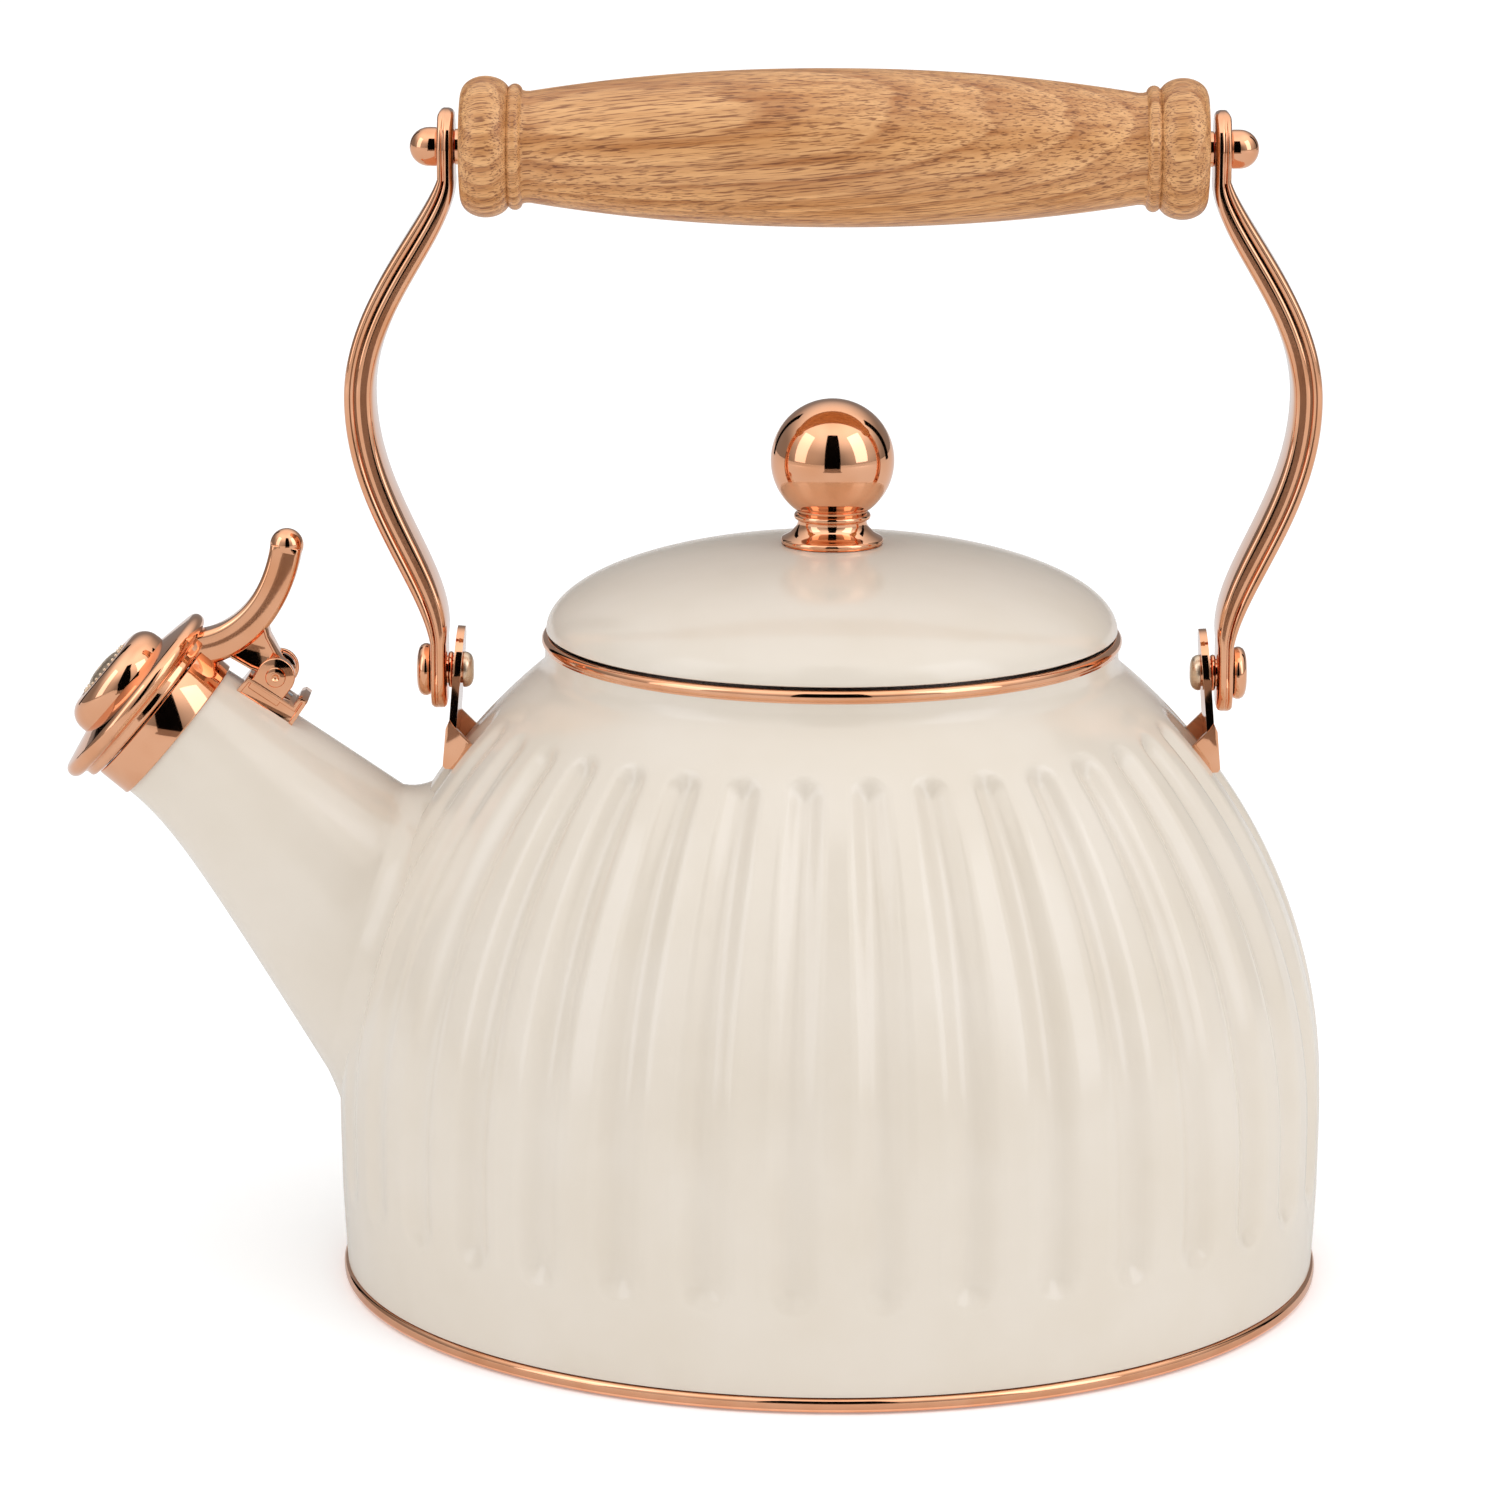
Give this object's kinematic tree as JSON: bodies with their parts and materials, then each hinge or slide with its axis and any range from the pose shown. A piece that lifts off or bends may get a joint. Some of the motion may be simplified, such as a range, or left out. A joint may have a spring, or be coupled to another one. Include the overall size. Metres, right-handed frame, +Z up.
{
  "type": "stovetop whistling kettle",
  "caption": "Fluted enamel stovetop kettle with a swing handle and turned wooden grip, a lift-off lid with ball knob, and a sprung whistle cap on the spout.",
  "frame": {"origin": "centre of the kettle's flat underside, on the surface that it stands on", "axes": "+Z up, -X towards the spout, X along the grip; the kettle is symmetric about the XZ plane"},
  "size_m": [0.2306, 0.1808, 0.2221],
  "materials": {
    "enamel": "cream gloss enamel on pressed steel",
    "copper_plate": "bright rose-copper plating, polished",
    "pale_gold_plate": "pale gold plating, satin bright",
    "oiled_wood": "turned light hardwood, clear satin lacquer",
    "steel": "plain stainless steel, turned or rolled",
    "silicone": "matt dark silicone"
  },
  "bodies": {
    "kettle": {"body_shell": "enamel", "base_pan": "steel", "base_ring": "copper_plate", "mouth_ring": "copper_plate", "spout_tube": "enamel", "spout_collar": "copper_plate", "hinge_base": "copper_plate", "hinge_pin": "copper_plate", "cap_spring": "steel", "left_lug": "copper_plate", "right_lug": "copper_plate", "left_rivet": "copper_plate", "right_rivet": "copper_plate", "left_rivet_cap": "pale_gold_plate", "right_rivet_cap": "pale_gold_plate", "left_pivot_spacer": "copper_plate", "right_pivot_spacer": "copper_plate"},
    "handle": {"left_arm": "copper_plate", "right_arm": "copper_plate", "tie_rod": "steel", "left_ball_nut": "copper_plate", "right_ball_nut": "copper_plate", "left_grip_washer": "copper_plate", "right_grip_washer": "copper_plate"},
    "grip": {"grip": "oiled_wood"},
    "whistle_cap": {"cap_casting": "copper_plate", "whistle_housing": "copper_plate", "whistle_front_plate": "pale_gold_plate", "whistle_back_plate": "pale_gold_plate", "cap_seal": "silicone"},
    "lid": {"lid_shell": "enamel", "lid_skirt": "steel", "knob_ball": "copper_plate", "knob_collar": "copper_plate", "knob_screw": "steel", "knob_washer": "steel"}
  },
  "joints": [
    {"name": "handle_swing", "type": "hinge", "parent": "kettle", "child": "handle", "pos_m": [0, 0, 0.1122], "axis": [1, 0, 0], "range_deg": [-103, 103]},
    {"name": "grip_turn", "type": "hinge", "parent": "handle", "child": "grip", "pos_m": [0, 0, 0.2079], "axis": [1, 0, 0], "continuous": true},
    {"name": "cap_flip", "type": "hinge", "parent": "kettle", "child": "whistle_cap", "pos_m": [-0.1011, 0, 0.1116], "axis": [0, 1, 0], "range_deg": [0, 58], "stiffness_Nm_per_rad": 0.02, "springref_deg": -34.38},
    {"name": "lid_lift", "type": "slide", "parent": "kettle", "child": "lid", "axis": [0, 0, 1], "range_m": [0, 0.028]}
  ]
}
